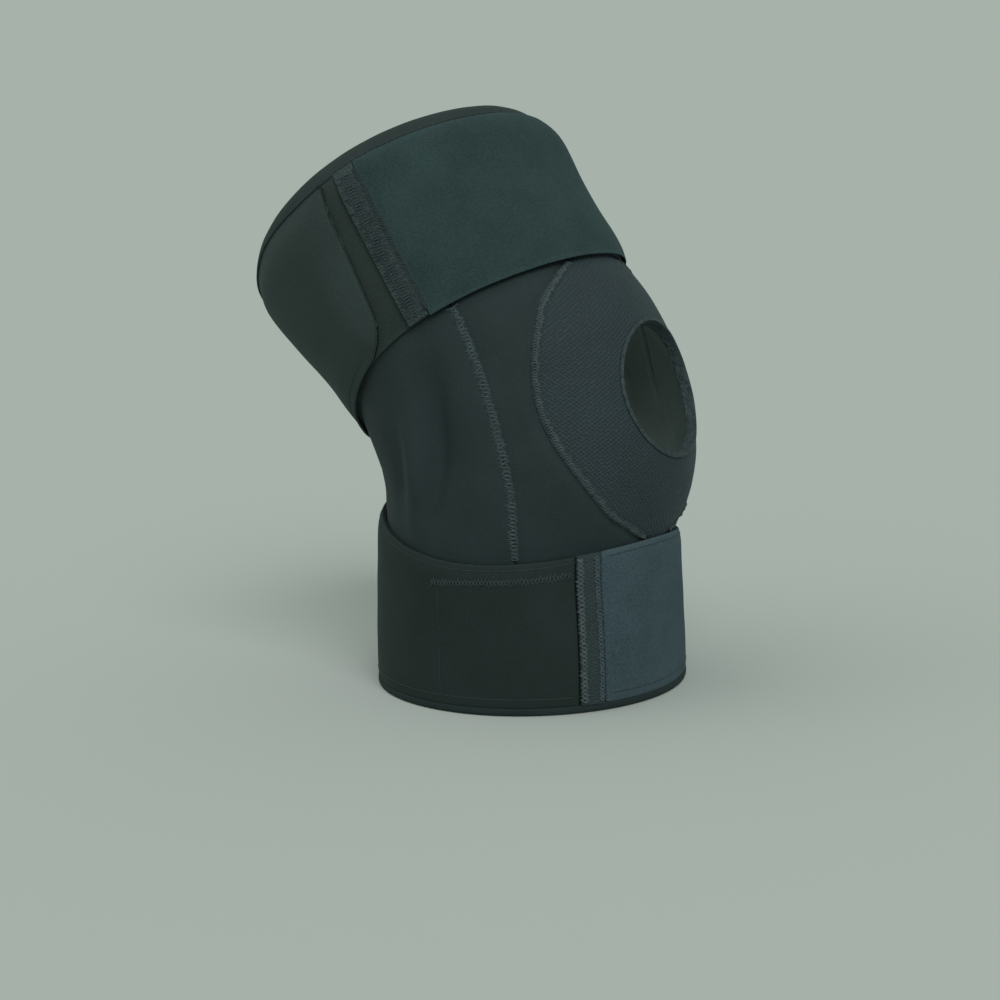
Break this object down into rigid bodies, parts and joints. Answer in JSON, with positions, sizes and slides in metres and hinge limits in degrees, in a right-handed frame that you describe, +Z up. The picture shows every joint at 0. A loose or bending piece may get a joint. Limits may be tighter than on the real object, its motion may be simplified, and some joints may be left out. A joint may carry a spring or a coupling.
{
  "type": "knee sleeve",
  "caption": "Open-patella knee sleeve standing in its bent shape, with a wide wrap round the thigh and one round the calf.",
  "frame": {"origin": "middle of the calf opening, on the surface that the sleeve stands on", "axes": "+Z up the calf, -Y out of the kneecap, -X the side with the tape and the closing end"},
  "size_m": [0.1325, 0.1751, 0.2156],
  "materials": {
    "sleeve_cloth": "matt nylon jersey over neoprene",
    "patch_knit": "open knit with small raised cells",
    "edging": "matt folded tape",
    "wrap_cloth": "matt nylon jersey",
    "tape": "matt stitched tape",
    "loop_cloth": "brushed loop pile"
  },
  "bodies": {
    "root": {"front_panel": "sleeve_cloth", "back_panel": "sleeve_cloth", "knee_patch": "patch_knit", "knee_edging": "edging", "top_edging": "edging", "bottom_edging": "edging", "calf_wrap": "wrap_cloth", "calf_seam_tape": "tape", "calf_loop_panel": "loop_cloth", "thigh_wrap": "wrap_cloth", "thigh_loop_panel": "loop_cloth", "thigh_border": "tape", "thigh_flap": "wrap_cloth"}
  },
  "joints": []
}
